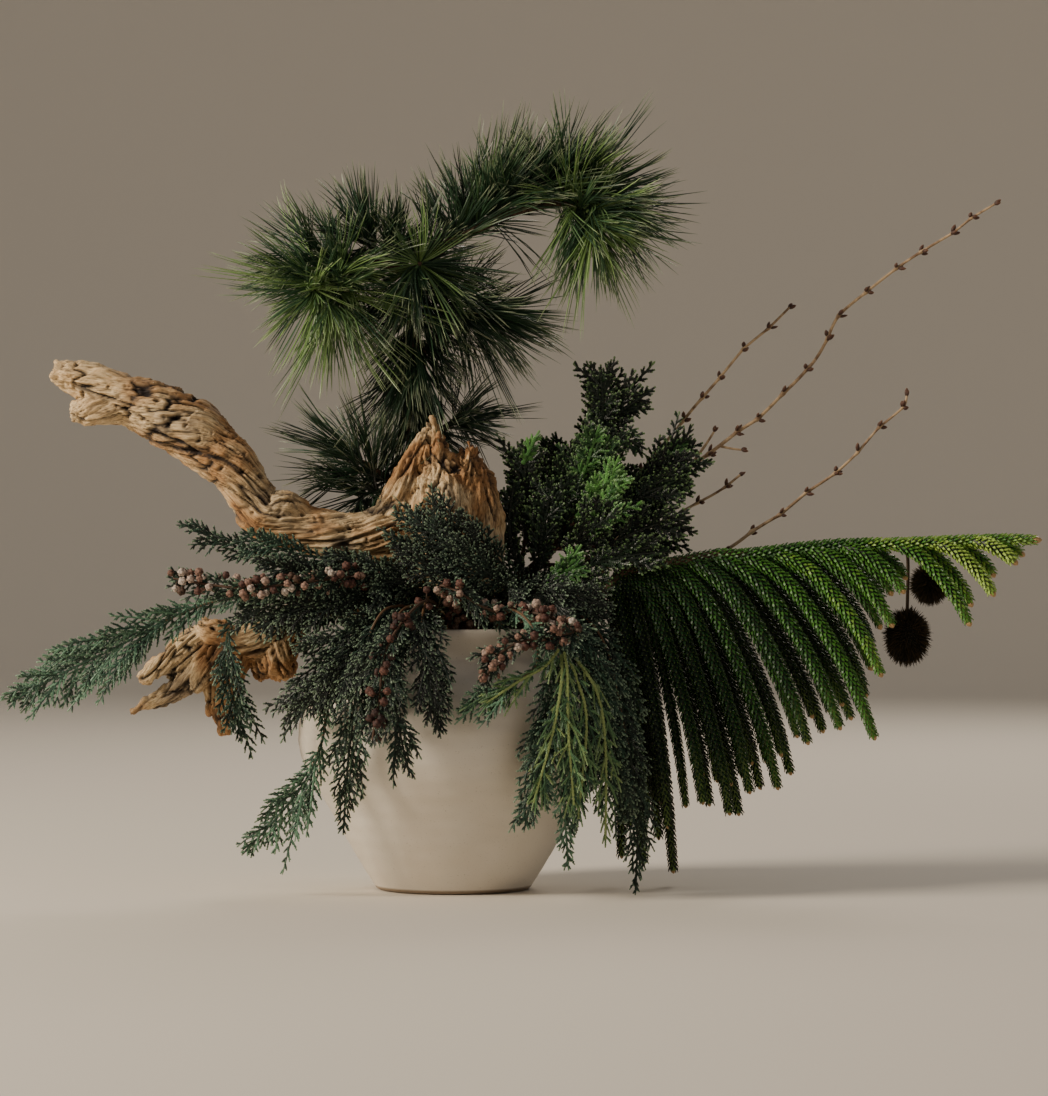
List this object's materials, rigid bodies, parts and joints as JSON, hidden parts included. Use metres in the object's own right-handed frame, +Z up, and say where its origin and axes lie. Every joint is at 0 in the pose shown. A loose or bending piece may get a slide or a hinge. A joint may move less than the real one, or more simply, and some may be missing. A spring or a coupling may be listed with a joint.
{
  "type": "ikebana arrangement",
  "caption": "Evergreen boughs, driftwood, bare budded twigs and small cones held by a pin holder in a round wide-bellied stoneware vase.",
  "frame": {"origin": "centre of the vase's foot, on the surface that it stands on", "axes": "+Z up the vase's axis, +X along the arrangement's width towards the frond, -Y towards the front"},
  "size_m": [0.7576, 0.2699, 0.58],
  "materials": {
    "vase_glaze": "satin",
    "kenzan_metal": "matte",
    "driftwood": "matte",
    "bark": "matte",
    "pine_needles": "satin",
    "hinoki_leaf": "satin",
    "cypress_leaf": "satin",
    "norfolk_leaf": "satin",
    "twig_bark": "matte",
    "cypress_cone": "matte",
    "bristle_cone": "matte"
  },
  "bodies": {
    "root": {"bristle_cone_high": "bristle_cone", "bristle_cone_low": "bristle_cone", "cones_centre": "cypress_cone", "cones_front": "cypress_cone", "cones_left": "cypress_cone", "cones_right": "cypress_cone", "cypress_centre": "cypress_leaf", "cypress_fan_down": "cypress_leaf", "cypress_fan_left": "cypress_leaf", "cypress_fan_mid": "cypress_leaf", "cypress_fan_right": "cypress_leaf", "cypress_far_left": "cypress_leaf", "cypress_hang_front": "cypress_leaf", "cypress_hang_left": "cypress_leaf", "cypress_hang_long": "cypress_leaf", "cypress_hang_right": "cypress_leaf", "cypress_inner_left": "cypress_leaf", "cypress_low_left": "cypress_leaf", "cypress_middle": "cypress_leaf", "cypress_over_root": "cypress_leaf", "cypress_rim": "cypress_leaf", "cypress_small_right": "cypress_leaf", "cypress_upper_left": "cypress_leaf", "driftwood_arm": "driftwood", "driftwood_root": "driftwood", "hinoki_back": "hinoki_leaf", "hinoki_back_right": "hinoki_leaf", "hinoki_bright": "hinoki_leaf", "hinoki_front": "hinoki_leaf", "hinoki_inner_left": "hinoki_leaf", "hinoki_left": "hinoki_leaf", "hinoki_low_right": "hinoki_leaf", "hinoki_right": "hinoki_leaf", "hinoki_stem": "bark", "hinoki_top": "hinoki_leaf", "kenzan": "kenzan_metal", "norfolk_frond": "norfolk_leaf", "norfolk_stem": "bark", "pine_stem": "bark", "pine_tuft_arch": "pine_needles", "pine_tuft_back": "pine_needles", "pine_tuft_centre": "pine_needles", "pine_tuft_left": "pine_needles", "pine_tuft_low_left": "pine_needles", "pine_tuft_low_right": "pine_needles", "pine_tuft_tip": "pine_needles", "twig_long": "twig_bark", "twig_lower": "twig_bark", "twig_short": "twig_bark", "twig_upper": "twig_bark", "vase": "vase_glaze"}
  },
  "joints": []
}
